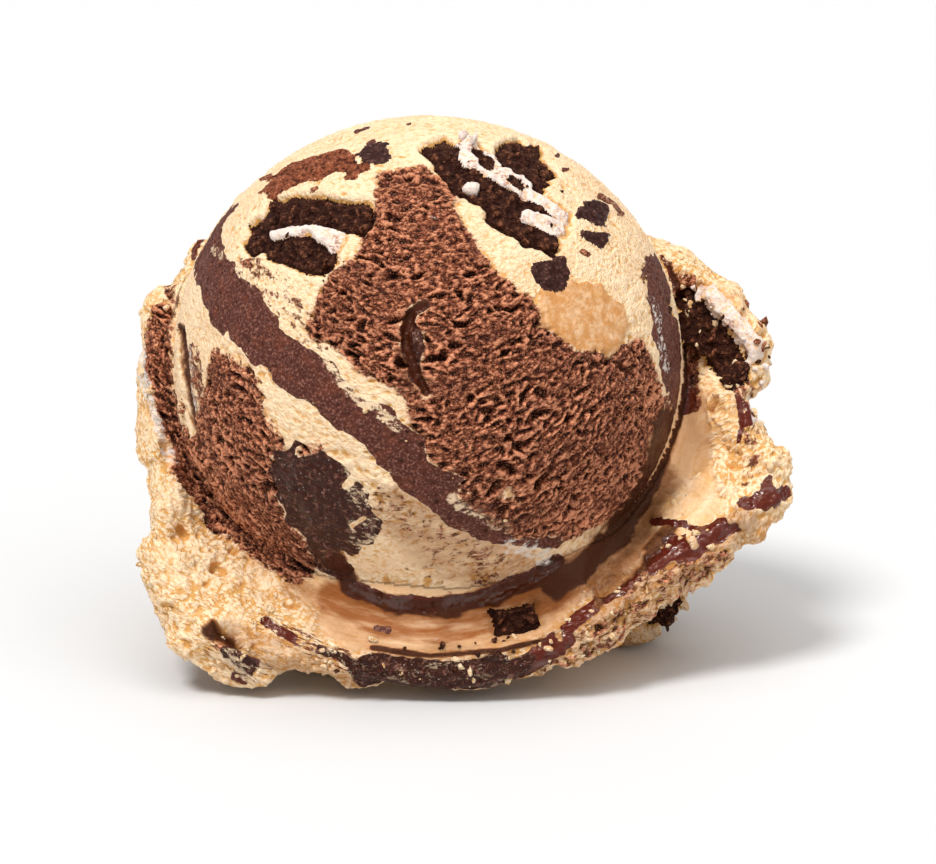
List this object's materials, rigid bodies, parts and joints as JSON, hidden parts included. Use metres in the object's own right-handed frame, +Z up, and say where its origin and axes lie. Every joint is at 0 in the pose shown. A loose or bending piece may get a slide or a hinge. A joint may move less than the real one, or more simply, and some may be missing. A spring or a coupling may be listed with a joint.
{
  "type": "ice cream scoop",
  "caption": "Scoop of golden and chocolate ice cream with a ragged collar, a fudge swirl and pieces of cookie, toffee and chocolate set into it.",
  "frame": {"origin": "on the table, at the middle of the bounding box's base", "axes": "+Z up; the smooth dome leans towards -Y, the front; +X is to the right as seen from the front and is the longest extent"},
  "size_m": [0.0856, 0.0616, 0.0698],
  "materials": {
    "golden_ice_cream": "soft, finely crumbled, slightly moist",
    "chocolate_ice_cream": "open, torn and porous",
    "fudge": "dark, partly frosted, glossy where smeared",
    "cookie": "dry crumb",
    "cookie_cream": "soft and pale",
    "toffee": "smooth, waxy",
    "chip": "satin"
  },
  "bodies": {
    "root": {"chip_lower": "chip", "chip_middle": "chip", "chip_upper": "chip", "chocolate_flake": "chocolate_ice_cream", "chocolate_ice_cream_front": "chocolate_ice_cream", "chocolate_ice_cream_left": "chocolate_ice_cream", "chocolate_strip": "chocolate_ice_cream", "cookie_left_cream": "cookie_cream", "cookie_left_lower_wafer": "cookie", "cookie_left_upper_wafer": "cookie", "cookie_right_cream": "cookie_cream", "cookie_right_wafer": "cookie", "cookie_top_cream": "cookie_cream", "cookie_top_left_wafer": "cookie", "cookie_top_low_cream": "cookie_cream", "cookie_top_low_wafer": "cookie", "cookie_top_right_wafer": "cookie", "cookie_trough_wafer": "cookie", "cookie_under_wafer": "cookie", "dark_flake": "chip", "fudge_arc": "fudge", "fudge_horn": "fudge", "fudge_pool": "fudge", "fudge_ribbon": "fudge", "fudge_sheet": "fudge", "fudge_streak": "fudge", "fudge_vein_base": "fudge", "fudge_vein_edge": "fudge", "fudge_vein_left": "fudge", "fudge_vein_right": "fudge", "golden_ice_cream": "golden_ice_cream", "toffee_piece": "toffee"}
  },
  "joints": []
}
